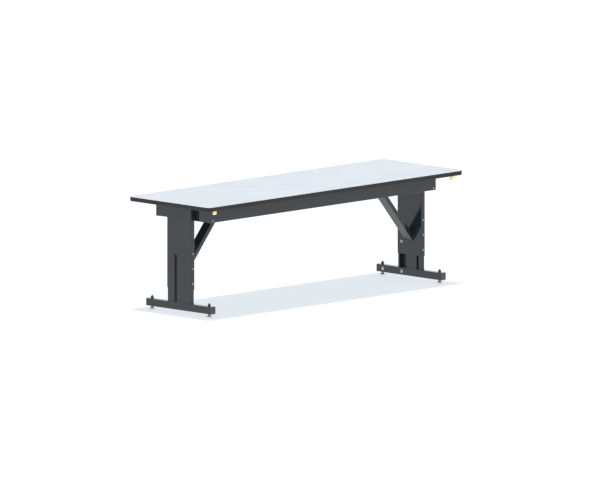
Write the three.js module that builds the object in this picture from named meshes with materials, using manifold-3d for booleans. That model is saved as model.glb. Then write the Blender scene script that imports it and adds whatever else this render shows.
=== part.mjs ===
// Height-adjustable workbench: a laminated worktop on a steel frame, carried by two telescopic
// legs. One motor turns a cross shaft, and the shaft turns a lead screw in each leg.
// Millimetres, +Z up. X runs along the worktop, -Y is the user's side, and the origin is on the
// floor under the middle of the worktop.
import * as THREE from 'three';
import { mergeVertices } from 'three/addons/utils/BufferGeometryUtils.js';
import Module from 'manifold-3d';

const wasm = await Module();
wasm.setup();

// ---------------------------------------------------------------- driving dimensions
const GAP = 0.3;                 // clearance between pieces that touch
const STEEL = 2.66;              // 12 gauge sheet
const PLATE = 3;                 // welded end plates

const TOP_LENGTH = 2438.4;
const TOP_DEPTH = 762;
const TOP_THICKNESS = 28.6;
const TOP_CORNER = 30;
const TOP_HEIGHT = 768;          // floor to working surface at rest
const EDGE_BAND = 3;
const EDGE_ROUNDING = [[0, 4.5], [0.8, 2], [2.6, 0]];    // inset, height above the underside
const LAMINATE = 1;
const BACKER = 0.8;

const BEAM_HEIGHT = 101.6;
const BEAM_DEPTH = 38.1;
const BEND_RADIUS = 4;
const FRAME_SETBACK = 124.4;     // worktop's front edge to the front beam
const FRAME_INSET = 140;         // worktop's end to the beam's end
const VENT_RADIUS = 5;
const BRACKET = { width: 200, height: 90 };

const COLUMN_INSET = 117.5;      // worktop's end to the middle of the leg
const SLEEVE_THICK = 35;
const SLEEVE_WIDTH = 227.8;
const SLEEVE_BOTTOM = 170;
const SLIDE_CLEARANCE = 0.39;
const SLEEVE_SLOT = { y: 27.5, width: 27, top: 404.5 };
const COLUMN_SLOT = { y: 33, width: 24, top: 400 };
const SLOT_SEAL = { thick: 2, overlap: 17, above: 20 };
const COLUMN_TOP = 577;
const COLUMN_OPENING = { rear: 96, front: -84.5 };

const ACTUATOR = { y: -14, width: 98, thick: 22, wall: 2, corner: 2.8, inset: 2.4 };
const NUT = { bottom: 530, height: 45, width: 66 };
const SCREW_RADIUS = 7;
const SCREW_BOTTOM = 270;
const SHAFT_Z = 693;
const SHAFT_RADIUS = 6;
const JOURNAL_RADIUS = 3;
const SHAFT_HOLE = 8;
const HEAD = { width: 52, height: 76, wall: 2.5, rim: 6 };
const GEAR = { near: 3.5, far: 7.1, back: 8.4, radius: 6.5, teeth: 8 };
const GEARBOX = { length: 84, depth: 66, height: 76, corner: 8, flangeLength: 110, flangeThick: 6 };
const MOTOR_FACE = { radius: 24, length: 12, drop: 20 };
const MOTOR = { radius: 27, body: 25, length: 130, flange: 8, cover: 16, chamfer: 6 };
const CONTROL_BOX = { x: 250, y: 120, length: 190, depth: 120, height: 46, corner: 6 };
const SOCKET = { length: 28, depth: 20, height: 21 };

const CROSS_MEMBER = { inset: 451.5, width: 50, height: 76 };
const BRACE = { width: 72, depth: 28.5, angle: THREE.MathUtils.degToRad(40), foot: 263.5 };
const DRAIN_RADIUS = 4;

const FOOT_LENGTH = 612;
const FOOT_WIDTH = 46;
const FOOT_HEIGHT = 50.8;
const FOOT_TOP = 77;
const FOOT_CORNER = 3;
const CAP = { plate: 4, plug: 10 };
const LEVELLER_Y = 270;
const STUD_RADIUS = 6.35;
const STUD_TOP = 98;
const HEX = { radius: 11, collar: 8, collarBottom: 16 };
const WELD_NUT = 14;
const PAD = { radius: 22, height: 14, rim: 10, socket: 8 };

const SLEEVE_BOLTS = [416.6, 314.5, 212.7];
const SLEEVE_BOLT = { head: 6.5, height: 2.8, shank: 4 };
const STOP_BOLT = { y: 72.5, z: 254.5, head: 11, height: 4.5, shank: 6, length: 12 };
const JACK = { inset: 80, setback: 21.5, width: 37, height: 26, depth: 7, corner: 2 };
const JACK_SOCKET = { radius: 2.2, spread: 7, drop: 3 };

// ---------------------------------------------------------------- derived places
const UNDERSIDE = TOP_HEIGHT - TOP_THICKNESS;
const FRAME_TOP = UNDERSIDE - GAP;
const BEAM_MID = FRAME_TOP - BEAM_HEIGHT / 2;
const FRAME_FRONT = -TOP_DEPTH / 2 + FRAME_SETBACK;
const BEAM_Y = FRAME_FRONT + BEAM_DEPTH / 2;
const BEAM_LENGTH = TOP_LENGTH - 2 * FRAME_INSET;
const ARM_LENGTH = 2 * Math.abs(FRAME_FRONT + BEAM_DEPTH) - 2 * GAP;
const COLUMN_X = TOP_LENGTH / 2 - COLUMN_INSET;
const INNER_THICK = SLEEVE_THICK - 2 * (STEEL + SLIDE_CLEARANCE);
const INNER_WIDTH = SLEEVE_WIDTH - 2 * (STEEL + SLIDE_CLEARANCE);
const SLEEVE_FACE = COLUMN_X - SLEEVE_THICK / 2;
const ARM_FACE = TOP_LENGTH / 2 - FRAME_INSET;
const SCREW_X = COLUMN_X - ACTUATOR.inset;
const CROSS_X = TOP_LENGTH / 2 - CROSS_MEMBER.inset;
const CROSS_BOTTOM = FRAME_TOP - CROSS_MEMBER.height;
const SIDES = { left: -1, right: 1 };
const ENDS = { front: -1, rear: 1 };

// ---------------------------------------------------------------- materials
const paint = (color, roughness, metalness) => () =>
  new THREE.MeshStandardMaterial({ color, roughness, metalness });
const blackPaint = paint(0x2b2d2f, 0.28, 0.1);
const laminate = paint(0xe2e9f1, 0.45, 0);
const darkPlastic = paint(0x3c3e41, 0.5, 0);
const particleBoard = paint(0xb89a6e, 0.9, 0);
const zinc = paint(0xb9bcbd, 0.35, 0.9);
const steel = paint(0x9a9da0, 0.3, 0.95);
const blackOxide = paint(0x4c4d50, 0.45, 0.6);
const bronze = paint(0xa9803f, 0.4, 0.9);
const castAluminium = paint(0x8e9194, 0.5, 0.8);
const rubber = paint(0x161617, 0.85, 0);
const yellowPlastic = paint(0xf3e7a8, 0.4, 0);

// ---------------------------------------------------------------- geometry helpers
const toSolid = (geometry) => {
  const bare = geometry.clone();
  bare.deleteAttribute('normal');
  bare.deleteAttribute('uv');
  const merged = mergeVertices(bare, 1e-4);
  return new wasm.Manifold(new wasm.Mesh({
    numProp: 3,
    vertProperties: new Float32Array(merged.attributes.position.array),
    triVerts: new Uint32Array(merged.index.array),
  }));
};

const toGeometry = (solid) => {
  const mesh = solid.getMesh();
  const geometry = new THREE.BufferGeometry();
  geometry.setAttribute('position', new THREE.BufferAttribute(mesh.vertProperties, 3));
  geometry.setIndex(new THREE.BufferAttribute(mesh.triVerts, 1));
  geometry.computeVertexNormals();
  return geometry;
};

const cut = (geometry, ...tools) => {
  const remove = (solid, tool) => solid.subtract(toSolid(tool));
  return toGeometry(tools.reduce(remove, toSolid(geometry)));
};

const join = (geometry, ...others) => {
  const add = (solid, other) => solid.add(toSolid(other));
  return toGeometry(others.reduce(add, toSolid(geometry)));
};

const box = (sizeX, sizeY, sizeZ) => new THREE.BoxGeometry(sizeX, sizeY, sizeZ);

const roundedRect = (width, height, radius, path = new THREE.Shape()) => {
  const x = width / 2 - radius;
  const y = height / 2 - radius;
  path.absarc(x, y, radius, 0, Math.PI / 2);
  path.absarc(-x, y, radius, Math.PI / 2, Math.PI);
  path.absarc(-x, -y, radius, Math.PI, 1.5 * Math.PI);
  path.absarc(x, -y, radius, 1.5 * Math.PI, 2 * Math.PI);
  return path;
};

const tubeSection = (width, height, wall, radius) => {
  const shape = roundedRect(width, height, radius);
  const inside = Math.max(radius - wall, 0.8);
  shape.holes.push(roundedRect(width - 2 * wall, height - 2 * wall, inside, new THREE.Path()));
  return shape;
};

// A section drawn in X and Y, from z = bottom up to bottom + length.
const extrudeUp = (shape, length, bottom = 0, curveSegments = 2) =>
  new THREE.ExtrudeGeometry(shape, { depth: length, bevelEnabled: false, curveSegments })
    .translate(0, 0, bottom);

// The section's x becomes Y and its y becomes Z; the length is centred along X.
const extrudeAlongX = (shape, length, curveSegments) =>
  extrudeUp(shape, length, -length / 2, curveSegments).rotateX(Math.PI / 2).rotateZ(Math.PI / 2);

// The section's x stays X and its y becomes Z; the length is centred along Y.
const extrudeAlongY = (shape, length, curveSegments) =>
  extrudeUp(shape, length, -length / 2, curveSegments).rotateX(Math.PI / 2);

const rod = (radius, length, segments = 16) =>
  new THREE.CylinderGeometry(radius, radius, length, segments);
const rodAlongX = (radius, length, segments) => rod(radius, length, segments).rotateZ(Math.PI / 2);
const rodAlongZ = (radius, length, segments) => rod(radius, length, segments).rotateX(Math.PI / 2);

// A turned piece standing along +Z, from [radius, height] pairs.
const turned = (points, segments = 20) =>
  new THREE.LatheGeometry(points.map(([r, z]) => new THREE.Vector2(r, z)), segments)
    .rotateX(Math.PI / 2);

// A folded sheet section: the sheet's middle line given sheet thickness, with mitred bends.
const foldedSheet = (line, thickness) => {
  const points = line.map(([x, y]) => new THREE.Vector2(x, y));
  const normals = points.slice(1).map((point, i) => {
    const along = point.clone().sub(points[i]).normalize();
    return new THREE.Vector2(-along.y, along.x);
  });
  const edge = (side) => points.map((point, i) => {
    const before = normals[Math.max(i - 1, 0)];
    const after = normals[Math.min(i, normals.length - 1)];
    const mitre = before.clone().add(after).normalize();
    return point.clone().addScaledVector(mitre, side * thickness / 2 / mitre.dot(after));
  });
  return new THREE.Shape([...edge(1), ...edge(-1).reverse()]);
};

const bench = new THREE.Group();

const place = (name, geometry, material, x = 0, y = 0, z = 0) => {
  const mesh = new THREE.Mesh(geometry, material());
  mesh.name = name;
  mesh.position.set(x, y, z);
  bench.add(mesh);
};

// ---------------------------------------------------------------- worktop
const worktopSheet = (thickness, inset) =>
  extrudeUp(roundedRect(TOP_LENGTH - 2 * inset, TOP_DEPTH - 2 * inset, TOP_CORNER - inset),
    thickness, 0, 4);

// A band around the worktop, rounded along its lower edge.
const edgeBand = () => {
  const steps = EDGE_ROUNDING.map(([inset, rise]) =>
    toSolid(worktopSheet(TOP_THICKNESS - rise, inset).translate(0, 0, rise)));
  const core = toSolid(worktopSheet(2 * TOP_THICKNESS, EDGE_BAND).translate(0, 0, -TOP_THICKNESS / 2));
  return toGeometry(wasm.Manifold.hull(steps).subtract(core));
};

const addWorktop = () => {
  const inset = EDGE_BAND + GAP;
  const coreBottom = UNDERSIDE + BACKER + GAP;
  const coreTop = TOP_HEIGHT - LAMINATE - GAP;
  place('worktop_core', worktopSheet(coreTop - coreBottom, inset), particleBoard, 0, 0, coreBottom);
  place('worktop_laminate', worktopSheet(LAMINATE, inset), laminate, 0, 0, TOP_HEIGHT - LAMINATE);
  place('worktop_backer', worktopSheet(BACKER, inset), darkPlastic, 0, 0, UNDERSIDE);
  place('worktop_edge_band', edgeBand(), darkPlastic, 0, 0, UNDERSIDE);
};

// ---------------------------------------------------------------- frame under the worktop
// A rectangular tube whose two ends are closed by welded plates, with vent holes in one face.
const beam = (ventSide) => {
  const outside = roundedRect(BEAM_DEPTH, BEAM_HEIGHT, BEND_RADIUS);
  const hollow = box(BEAM_LENGTH - 2 * PLATE, BEAM_DEPTH - 2 * STEEL, BEAM_HEIGHT - 2 * STEEL);
  const vents = [-1, 1].map((side) =>
    rod(VENT_RADIUS, 4 * STEEL, 12).translate(side * BEAM_LENGTH / 4, ventSide * BEAM_DEPTH / 2, 0));
  return cut(extrudeAlongX(outside, BEAM_LENGTH), hollow, ...vents);
};

const addFrame = () => {
  place('front_beam', beam(1), blackPaint, 0, BEAM_Y, BEAM_MID);
  place('rear_beam', beam(-1), blackPaint, 0, -BEAM_Y, BEAM_MID);
  const shaftPath = (length) =>
    rodAlongX(SHAFT_HOLE, length, 16).translate(0, ACTUATOR.y, SHAFT_Z - BEAM_MID);
  for (const [name, side] of Object.entries(SIDES)) {
    const armX = side * (ARM_FACE - BEAM_DEPTH / 2);
    const armTube = extrudeAlongY(
      tubeSection(BEAM_DEPTH, BEAM_HEIGHT, STEEL, BEND_RADIUS), ARM_LENGTH);
    place(`${name}_side_arm`, cut(armTube, shaftPath(60)), blackPaint, armX, 0, BEAM_MID);

    const crossTube = extrudeAlongY(
      tubeSection(CROSS_MEMBER.width, CROSS_MEMBER.height, STEEL, BEND_RADIUS), ARM_LENGTH);
    const crossMid = FRAME_TOP - CROSS_MEMBER.height / 2;
    const crossHole = rodAlongX(SHAFT_HOLE, 80, 16).translate(0, ACTUATOR.y, SHAFT_Z - crossMid);
    place(`${name}_cross_member`, cut(crossTube, crossHole), blackPaint, side * CROSS_X, 0, crossMid);

    const plateThick = SLEEVE_FACE - ARM_FACE - 2 * GAP;
    const plateHole = rodAlongX(SHAFT_HOLE, 20, 16).translate(0, ACTUATOR.y, SHAFT_Z - BEAM_MID);
    const bracket = cut(box(plateThick, BRACKET.width, BRACKET.height), plateHole);
    place(`${name}_column_bracket`, bracket, blackPaint, side * (SLEEVE_FACE + ARM_FACE) / 2, 0, BEAM_MID);
  }
};

// ---------------------------------------------------------------- knee braces
// A rectangular tube from the sleeve's inner face up to the cross member, closed by a plate at
// each end, with a drain hole through the lower plate.
const kneeBrace = (side) => {
  const sin = Math.sin(BRACE.angle);
  const cos = Math.cos(BRACE.angle);
  const upperEnd = CROSS_BOTTOM - GAP - PLATE;
  const rise = upperEnd - BRACE.foot;
  const startX = SLEEVE_FACE - GAP;
  const long = 2 * rise / cos;
  const tube = (width, depth) => {
    const bar = box(depth, width, long);
    return bar.rotateY(-side * BRACE.angle);
  };
  const alongMid = rise / 2 / cos;
  const middle = new THREE.Vector3(
    side * (startX - alongMid * sin + BRACE.depth / 2 * cos), 0,
    BRACE.foot + alongMid * cos + BRACE.depth / 2 * sin);
  const outer = tube(BRACE.width, BRACE.depth).translate(...middle);
  const inner = tube(BRACE.width - 2 * STEEL, BRACE.depth - 2 * STEEL).translate(...middle);
  const keepFrom = CROSS_MEMBER.inset + CROSS_MEMBER.width;
  const window = box(keepFrom, BRACE.width + 10, rise + BRACE.depth / sin)
    .translate(side * (startX - keepFrom / 2), 0, upperEnd - (rise + BRACE.depth / sin) / 2);
  const sleevePlate = box(PLATE, BRACE.width, BRACE.depth / sin)
    .translate(side * (startX - PLATE / 2), 0, BRACE.foot + BRACE.depth / sin / 2);
  const topPlate = box(CROSS_MEMBER.width, BRACE.width + 20, PLATE)
    .translate(side * CROSS_X, 0, upperEnd + PLATE / 2);
  const drain = rodAlongX(DRAIN_RADIUS, 3 * PLATE, 12)
    .translate(side * startX, 0, BRACE.foot + BRACE.depth / sin / 2);
  const trimmed = toSolid(outer).subtract(toSolid(inner)).intersect(toSolid(window));
  return toGeometry(trimmed.add(toSolid(sleevePlate)).add(toSolid(topPlate)).subtract(toSolid(drain)));
};

// ---------------------------------------------------------------- telescopic legs
const sleeve = (side) => {
  const length = FRAME_TOP - SLEEVE_BOTTOM;
  const section = tubeSection(SLEEVE_THICK, SLEEVE_WIDTH, STEEL, BEND_RADIUS);
  const tube = extrudeUp(section, length, SLEEVE_BOTTOM);
  const slotHeight = SLEEVE_SLOT.top - SLEEVE_BOTTOM + 10;
  const slot = box(6 * STEEL, SLEEVE_SLOT.width, slotHeight)
    .translate(side * SLEEVE_THICK / 2, SLEEVE_SLOT.y, SLEEVE_SLOT.top - slotHeight / 2);
  const bolts = SLEEVE_BOLTS.map((z) =>
    rod(SLEEVE_BOLT.shank + GAP, 4 * STEEL, 12).translate(0, -SLEEVE_WIDTH / 2, z));
  const stop = rodAlongX(STOP_BOLT.shank + GAP, 4 * STEEL, 12)
    .translate(-side * SLEEVE_THICK / 2, STOP_BOLT.y, STOP_BOLT.z);
  const shaft = rodAlongX(SHAFT_HOLE, 4 * STEEL, 16)
    .translate(-side * SLEEVE_THICK / 2, ACTUATOR.y, SHAFT_Z);
  return cut(tube, slot, stop, shaft, ...bolts);
};

// A folded sheet with rounded bends, open towards the middle of the bench between its two lips,
// with a slot down its outer wall.
const innerColumn = (side) => {
  const outer = side * (INNER_THICK - STEEL) / 2;
  const front = -(INNER_WIDTH - STEEL) / 2;
  const rear = -front;
  const line = [[-outer, COLUMN_OPENING.front], [-outer, front], [outer, front], [outer, rear],
    [-outer, rear], [-outer, COLUMN_OPENING.rear]];
  const bottom = FOOT_TOP + GAP;
  const slotHeight = COLUMN_SLOT.top - bottom + 10;
  const slot = box(6 * STEEL, COLUMN_SLOT.width, slotHeight)
    .translate(outer, COLUMN_SLOT.y, COLUMN_SLOT.top - slotHeight / 2);
  const height = COLUMN_TOP - bottom;
  const sheet = toSolid(extrudeUp(foldedSheet(line, STEEL), height, bottom));
  const envelope = toSolid(extrudeUp(roundedRect(INNER_THICK, INNER_WIDTH, 3), height, bottom));
  return toGeometry(sheet.intersect(envelope).subtract(toSolid(slot)));
};

// Round head along +Z with a hexagonal socket, and a plain shank below it.
const socketBolt = ({ head, height, shank }, length) => {
  const bolt = turned([[0, -length], [shank, -length], [shank, 0], [head, 0], [head, height * 0.35],
    [head * 0.8, height * 0.85], [head * 0.5, height], [0, height]], 16);
  return cut(bolt, rodAlongZ(head * 0.4, height, 6).translate(0, 0, height));
};

const addLeg = (name, side) => {
  const x = side * COLUMN_X;
  place(`${name}_sleeve`, sleeve(side), blackPaint, x);
  place(`${name}_knee_brace`, kneeBrace(side), blackPaint);
  SLEEVE_BOLTS.forEach((z, i) => {
    const bolt = socketBolt(SLEEVE_BOLT, STEEL - GAP).translate(0, 0, GAP).rotateX(Math.PI / 2);
    place(`${name}_sleeve_bolt_${i + 1}`, bolt, zinc, x, -SLEEVE_WIDTH / 2, z);
  });
  const stop = socketBolt(STOP_BOLT, STOP_BOLT.length).translate(0, 0, GAP)
    .rotateY(-side * Math.PI / 2);
  place(`${name}_stop_bolt`, stop, zinc, side * SLEEVE_FACE, STOP_BOLT.y, STOP_BOLT.z);

  place(`${name}_inner_column`, innerColumn(side), blackPaint, x);
  const tubeBottom = FOOT_TOP + GAP;
  const tube = extrudeUp(tubeSection(ACTUATOR.thick, ACTUATOR.width, ACTUATOR.wall, ACTUATOR.corner),
    NUT.bottom - GAP - tubeBottom, tubeBottom, 2);
  place(`${name}_actuator_tube`, tube, blackPaint, side * SCREW_X, ACTUATOR.y);
  const nut = cut(box(ACTUATOR.thick, NUT.width, NUT.height),
    rodAlongZ(SCREW_RADIUS + GAP, NUT.height + 10, 24));
  place(`${name}_lift_nut`, nut, bronze, side * SCREW_X, ACTUATOR.y, NUT.bottom + NUT.height / 2);

  const sealHeight = COLUMN_SLOT.top + SLOT_SEAL.above - tubeBottom;
  const seal = box(SLOT_SEAL.thick, COLUMN_SLOT.width + 2 * SLOT_SEAL.overlap, sealHeight);
  place(`${name}_slot_seal`, seal, rubber,
    side * (COLUMN_X + INNER_THICK / 2 - STEEL - GAP - SLOT_SEAL.thick / 2),
    COLUMN_SLOT.y, tubeBottom + sealHeight / 2);
};

// ---------------------------------------------------------------- lifting drive
// A toothed cone with its point at the origin and its axis along +Z, bored from the back.
const mitreGear = () => {
  const bore = JOURNAL_RADIUS + GAP;
  const blank = turned([[0, GEAR.near], [GEAR.near - 0.6, GEAR.near], [GEAR.radius, GEAR.far],
    [GEAR.radius, GEAR.back], [bore, GEAR.back], [bore, GEAR.near + 2], [0, GEAR.near + 2]], 16);
  const gaps = Array.from({ length: GEAR.teeth }, (_, i) =>
    box(1.6, 10, 1).rotateX(-Math.PI / 4)
      .translate(0, (GEAR.near + GEAR.far) / 2, (GEAR.near + GEAR.far) / 2)
      .rotateZ(2 * Math.PI * i / GEAR.teeth));
  return cut(blank, ...gaps);
};

const gearHead = (side) => {
  const shift = -side * ACTUATOR.inset;
  const body = box(INNER_THICK, HEAD.width, HEAD.height);
  const cavity = box(INNER_THICK - 2 * HEAD.wall, HEAD.width - 2 * HEAD.rim, HEAD.height - 2 * HEAD.rim);
  const bore = JOURNAL_RADIUS + GAP;
  const shaftBore = rodAlongX(bore, INNER_THICK, 16).translate(-side * INNER_THICK / 2, 0, 0);
  const screwBore = rodAlongZ(bore, HEAD.height, 16).translate(shift, 0, -HEAD.height / 2);
  return cut(body, cavity, shaftBore, screwBore);
};

// Centred on its own block, with a mounting flange on top and a round face for the motor behind.
const wormGearbox = () => {
  const block = extrudeAlongX(
    roundedRect(GEARBOX.depth, GEARBOX.height, GEARBOX.corner), GEARBOX.length);
  const motorFace = rod(MOTOR_FACE.radius, MOTOR_FACE.length, 24)
    .translate(0, GEARBOX.depth / 2 + MOTOR_FACE.length / 2 - 1, -MOTOR_FACE.drop);
  const flange = box(GEARBOX.flangeLength, GEARBOX.depth, GEARBOX.flangeThick)
    .translate(0, 0, (GEARBOX.height - GEARBOX.flangeThick) / 2);
  const bore = rodAlongX(SHAFT_RADIUS + GAP, 2 * GEARBOX.length, 24)
    .translate(0, 0, SHAFT_Z - FRAME_TOP + GEARBOX.height / 2);
  return cut(join(block, motorFace, flange), bore);
};

// A round motor along +Y with a flange at its mounting face and a chamfered rear cover.
const liftMotor = () => {
  const coverStart = MOTOR.length - MOTOR.cover;
  return turned([[0, 0], [MOTOR.radius, 0], [MOTOR.radius, MOTOR.flange],
    [MOTOR.body, MOTOR.flange + 2], [MOTOR.body, coverStart - 2], [MOTOR.radius, coverStart],
    [MOTOR.radius, MOTOR.length - MOTOR.chamfer], [MOTOR.radius - MOTOR.chamfer, MOTOR.length],
    [0, MOTOR.length]]).rotateX(-Math.PI / 2);
};

const controlBox = () => {
  const shell = roundedRect(CONTROL_BOX.length, CONTROL_BOX.depth, CONTROL_BOX.corner);
  const socket = box(SOCKET.length, SOCKET.depth, SOCKET.height)
    .translate(0, CONTROL_BOX.depth / 2, 0);
  return cut(extrudeUp(shell, CONTROL_BOX.height, -CONTROL_BOX.height / 2), socket);
};

const addDrive = () => {
  const gearEnd = GEAR.near + 2 + GAP;
  const half = SCREW_X - gearEnd;
  const shoulder = SLEEVE_FACE - 1;
  const shaft = turned([[0, -half], [JOURNAL_RADIUS, -half], [JOURNAL_RADIUS, -shoulder],
    [SHAFT_RADIUS, -shoulder], [SHAFT_RADIUS, shoulder], [JOURNAL_RADIUS, shoulder],
    [JOURNAL_RADIUS, half], [0, half]], 16).rotateY(Math.PI / 2);
  place('cross_shaft', shaft, steel, 0, ACTUATOR.y, SHAFT_Z);

  for (const [name, side] of Object.entries(SIDES)) {
    place(`${name}_gear_head`, gearHead(side), castAluminium, side * COLUMN_X, ACTUATOR.y, SHAFT_Z);
    place(`${name}_shaft_gear`, mitreGear().rotateY(-side * Math.PI / 2), steel,
      side * SCREW_X, ACTUATOR.y, SHAFT_Z);
    place(`${name}_screw_gear`, mitreGear().rotateX(Math.PI), steel,
      side * SCREW_X, ACTUATOR.y, SHAFT_Z);
    const neck = SHAFT_Z - HEAD.height / 2 - 1;
    const screw = turned([[0, SCREW_BOTTOM], [SCREW_RADIUS - 2, SCREW_BOTTOM],
      [SCREW_RADIUS, SCREW_BOTTOM + 2], [SCREW_RADIUS, neck], [JOURNAL_RADIUS, neck],
      [JOURNAL_RADIUS, SHAFT_Z - gearEnd], [0, SHAFT_Z - gearEnd]]);
    place(`${name}_lead_screw`, screw, steel, side * SCREW_X, ACTUATOR.y);
  }

  place('worm_gearbox', wormGearbox(), castAluminium, 0, ACTUATOR.y, FRAME_TOP - GEARBOX.height / 2);
  place('lift_motor', liftMotor(), darkPlastic, 0,
    ACTUATOR.y + GEARBOX.depth / 2 + MOTOR_FACE.length - 1 + GAP,
    FRAME_TOP - GEARBOX.height / 2 - MOTOR_FACE.drop);
  place('control_box', controlBox(), blackPaint, CONTROL_BOX.x, CONTROL_BOX.y,
    FRAME_TOP - CONTROL_BOX.height / 2);
};

// ---------------------------------------------------------------- feet
const footBar = () => {
  const section = tubeSection(FOOT_WIDTH, FOOT_HEIGHT, STEEL, FOOT_CORNER);
  const tube = extrudeAlongY(section, FOOT_LENGTH - 2 * (CAP.plate + GAP));
  const nuts = Object.values(ENDS).map((end) => rodAlongZ(HEX.radius, WELD_NUT, 6)
    .translate(0, end * LEVELLER_Y, (FOOT_HEIGHT + WELD_NUT) / 2));
  const holes = Object.values(ENDS).map((end) => rodAlongZ(STUD_RADIUS + GAP, 2 * FOOT_HEIGHT, 16)
    .translate(0, end * LEVELLER_Y, 0));
  return cut(join(tube, ...nuts), ...holes);
};

// A plate over the tube's mouth with a plug behind it that fills the mouth.
const endCap = (end) => {
  const margin = 2 * (STEEL + GAP);
  const plate = extrudeAlongY(roundedRect(FOOT_WIDTH, FOOT_HEIGHT, FOOT_CORNER), CAP.plate);
  const depth = CAP.plug + CAP.plate / 2;
  const plug = extrudeAlongY(roundedRect(FOOT_WIDTH - margin, FOOT_HEIGHT - margin, 1), depth);
  return join(plate, plug.translate(0, -end * depth / 2, 0));
};

// A threaded stud with a hexagonal collar for the spanner.
const levellerStud = () => {
  const stud = turned([[0, PAD.socket + GAP], [STUD_RADIUS, PAD.socket + GAP],
    [STUD_RADIUS, STUD_TOP - 1.5], [STUD_RADIUS - 1.5, STUD_TOP], [0, STUD_TOP]], 16);
  const collar = rodAlongZ(HEX.radius, HEX.collar, 6)
    .translate(0, 0, HEX.collarBottom + HEX.collar / 2);
  return join(stud, collar);
};

// A round foot that rises to a neck around the stud's lower end.
const levellerPad = () => turned([[0, 0], [PAD.radius - 1, 0], [PAD.radius, 1], [PAD.radius, PAD.rim],
  [PAD.radius / 2, PAD.height - 1], [PAD.radius / 2, PAD.height], [STUD_RADIUS + GAP, PAD.height],
  [STUD_RADIUS + GAP, PAD.socket], [0, PAD.socket]], 24);

const addFoot = (name, side) => {
  const x = side * COLUMN_X;
  const midZ = FOOT_TOP - FOOT_HEIGHT / 2;
  place(`${name}_foot_bar`, footBar(), blackPaint, x, 0, midZ);
  for (const [end, direction] of Object.entries(ENDS)) {
    const capY = direction * (FOOT_LENGTH - CAP.plate) / 2;
    place(`${name}_${end}_end_cap`, endCap(direction), darkPlastic, x, capY, midZ);
    place(`${name}_${end}_leveller_stud`, levellerStud(), blackOxide, x, direction * LEVELLER_Y);
    place(`${name}_${end}_leveller_pad`, levellerPad(), zinc, x, direction * LEVELLER_Y);
  }
};

// ---------------------------------------------------------------- grounding jacks
const groundJack = () => {
  const body = extrudeAlongY(roundedRect(JACK.width, JACK.height, JACK.corner), JACK.depth, 2);
  const sockets = [-1, 1].map((side) => rod(JACK_SOCKET.radius, JACK.depth, 12)
    .translate(side * JACK_SOCKET.spread, -JACK.depth / 2, -JACK_SOCKET.drop));
  return cut(body, ...sockets);
};

// ---------------------------------------------------------------- assembly
addWorktop();
addFrame();
addDrive();
for (const [name, side] of Object.entries(SIDES)) {
  addLeg(name, side);
  addFoot(name, side);
  place(`${name}_ground_jack`, groundJack(), yellowPlastic, side * (TOP_LENGTH / 2 - JACK.inset),
    -TOP_DEPTH / 2 + JACK.setback + JACK.depth / 2, FRAME_TOP - JACK.height / 2);
}

export default bench;
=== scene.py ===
"""The looks of the height-adjustable workbench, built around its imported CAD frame.

Metres, +Z up. X runs along the worktop, -Y is the user's side, and the floor is at z = 0.
"""

import math

import bmesh
import bpy
from mathutils import Matrix, Vector


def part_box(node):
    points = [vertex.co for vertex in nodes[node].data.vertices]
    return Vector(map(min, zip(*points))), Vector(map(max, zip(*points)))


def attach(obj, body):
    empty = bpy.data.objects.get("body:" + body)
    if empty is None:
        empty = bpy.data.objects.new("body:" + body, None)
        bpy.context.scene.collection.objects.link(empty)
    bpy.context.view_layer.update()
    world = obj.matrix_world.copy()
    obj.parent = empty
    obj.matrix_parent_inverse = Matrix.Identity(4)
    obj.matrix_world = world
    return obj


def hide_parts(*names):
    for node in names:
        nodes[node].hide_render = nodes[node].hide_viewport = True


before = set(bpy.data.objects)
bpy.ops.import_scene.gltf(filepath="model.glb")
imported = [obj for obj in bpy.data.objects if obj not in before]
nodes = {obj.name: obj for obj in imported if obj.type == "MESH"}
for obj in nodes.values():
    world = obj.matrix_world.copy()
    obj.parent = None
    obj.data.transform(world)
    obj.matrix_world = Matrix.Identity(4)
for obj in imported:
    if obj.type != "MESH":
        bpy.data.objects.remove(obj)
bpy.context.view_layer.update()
scene = bpy.context.scene

MM = 0.001
X, Y, Z = 0, 1, 2
UP = (0, 0, 1)
DOWN = (0, 0, -1)
FRONT = (0, -1, 0)
REAR = (0, 1, 0)
SIDES = {"left": -1, "right": 1}
ENDS = {"front": -1, "rear": 1}

# ---------------------------------------------------------------- camera, floor and light
CAMERA_BEARING = math.radians(224.74)   # where the camera stands around the bench, from +X
CAMERA_ELEVATION = math.radians(8.45)
CAMERA_DISTANCE = 9.0
CAMERA_SIGHT = 200.0                    # the farthest that it sees
CAMERA_AIM = Vector((0.0191, -0.0192, 0.3941))
VIEW_WIDTH = 4.0393

WHITE = (1, 1, 1, 1)
SURROUNDINGS = 1.4                      # how bright the white room is
FLOOR_RADIUS = 60.0
FLOOR_DROP = 0.2 * MM                   # keeps the floor clear of the pads
FLOOR_GLOW = (0.667, 0.720, 0.767, 1)   # the floor's shade where no light reaches it
FLOOR_ALBEDO = (0.10, 0.10, 0.10, 1)
FLOOR_SUN = 7.6
TOP_SUN = 0.3
FILL_SUN = 1.1
FILL_ELEVATION = math.radians(20)
SUN_ANGLE = math.radians(3.4)
SUN_HEIGHT = 6.0


def toward_camera(elevation):
    """A unit vector that points toward the camera's side of the room, at some elevation."""
    return Vector((
        math.cos(CAMERA_BEARING) * math.cos(elevation),
        math.sin(CAMERA_BEARING) * math.cos(elevation),
        math.sin(elevation),
    ))


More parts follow.
